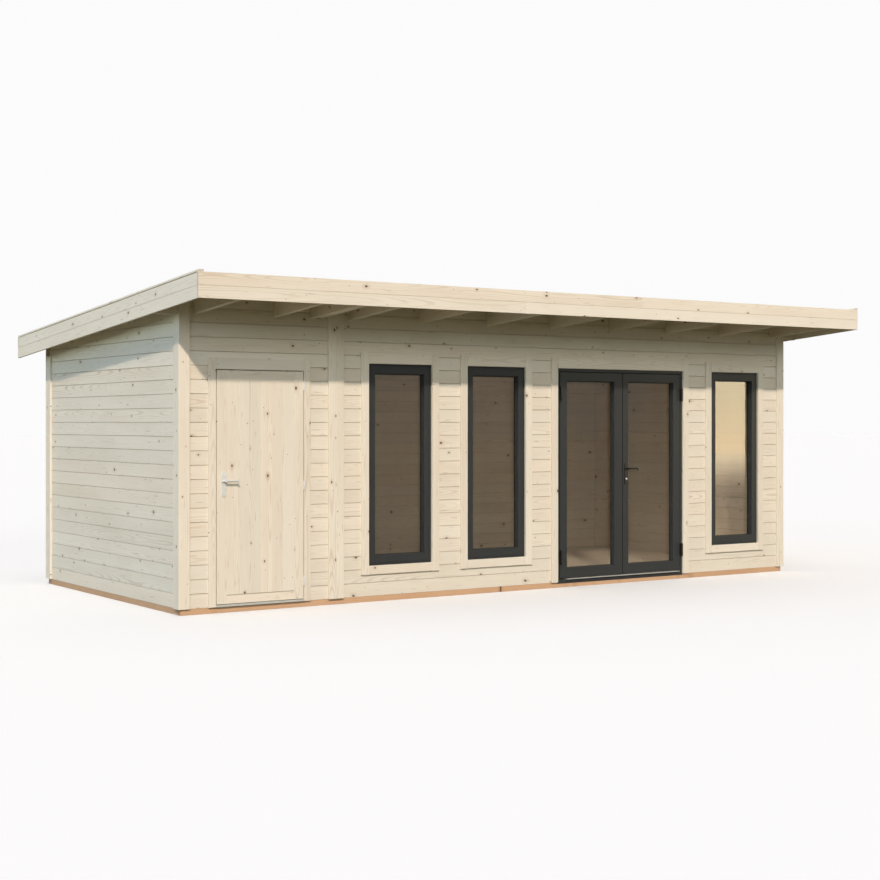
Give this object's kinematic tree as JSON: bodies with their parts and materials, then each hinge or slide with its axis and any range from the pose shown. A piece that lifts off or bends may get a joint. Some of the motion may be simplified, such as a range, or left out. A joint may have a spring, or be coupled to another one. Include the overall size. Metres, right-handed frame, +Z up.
{
  "type": "guest cabin",
  "caption": "Log guest cabin with a pent roof, a boarded store door, tall fixed windows and a glazed double door in dark frames",
  "frame": {"origin": "on the ground, under the middle of the roof", "axes": "+X to the right along the front, +Y to the rear, +Z up; the front wall with its doors faces -Y"},
  "size_m": [7.13, 4, 2.6558],
  "materials": {
    "spruce": "planed pale spruce, unpainted",
    "treated_wood": "brown pressure treated",
    "anthracite_paint": "anthracite satin paint",
    "glass": "clear",
    "silver_metal": "satin",
    "black_metal": "black satin",
    "threshold_metal": "weathered",
    "roof_felt": "mineral felt"
  },
  "bodies": {
    "cabin": {"ground_bearers": "treated_wood", "cross_bearers": "treated_wood", "floor_boards": "spruce", "front_wall_corner": "spruce", "front_wall_middle": "spruce", "front_wall_right": "spruce", "front_wall_head": "spruce", "rear_wall": "spruce", "left_wall": "spruce", "right_wall": "spruce", "partition_wall": "spruce", "rafters": "spruce", "lookouts": "spruce", "roof_boards": "spruce", "roof_felt": "roof_felt", "front_fascia": "spruce", "rear_fascia": "spruce", "side_fascias": "spruce", "verge_strips": "spruce", "cover_boards": "spruce", "window_trims": "spruce", "window_frames": "anthracite_paint", "window_glass": "glass", "store_door_jambs": "spruce", "store_door_head": "spruce", "store_door_trim": "spruce", "store_hinge_pins": "silver_metal", "door_thresholds": "threshold_metal", "double_door_jambs": "anthracite_paint", "double_door_head": "anthracite_paint", "double_door_trim": "spruce", "double_hinge_pins": "black_metal"},
    "store_leaf": {"store_door_leaf": "spruce", "store_hinge_flags": "silver_metal", "store_lever_plate": "silver_metal"},
    "store_handle": {"store_lever": "silver_metal"},
    "left_door": {"left_leaf": "anthracite_paint", "left_leaf_glass": "glass", "left_leaf_hinges": "black_metal"},
    "right_door": {"right_leaf": "anthracite_paint", "right_leaf_glass": "glass", "right_leaf_hinges": "black_metal", "double_lever_plate": "black_metal", "lock_cylinder": "silver_metal"},
    "right_handle": {"double_lever": "black_metal"}
  },
  "joints": [
    {"name": "store_door_hinge", "type": "hinge", "parent": "cabin", "child": "store_leaf", "pos_m": [-2.24525, -1.2135, 1], "axis": [0, 0, 1], "range_deg": [0, 110]},
    {"name": "left_leaf_hinge", "type": "hinge", "parent": "cabin", "child": "left_door", "pos_m": [0.45475, -1.219, 1], "axis": [0, 0, -1], "range_deg": [0, 110]},
    {"name": "right_leaf_hinge", "type": "hinge", "parent": "cabin", "child": "right_door", "pos_m": [1.94525, -1.219, 1], "axis": [0, 0, 1], "range_deg": [0, 110]},
    {"name": "store_lever_spindle", "type": "hinge", "parent": "store_leaf", "child": "store_handle", "pos_m": [-2.9735, -1.206, 1.058], "axis": [0, 1, 0], "range_deg": [0, 40], "stiffness_Nm_per_rad": 1, "springref_deg": -11.46},
    {"name": "double_lever_spindle", "type": "hinge", "parent": "right_door", "child": "right_handle", "pos_m": [1.2515, -1.19, 1.086], "axis": [0, 1, 0], "range_deg": [0, 40], "stiffness_Nm_per_rad": 1, "springref_deg": -11.46}
  ]
}
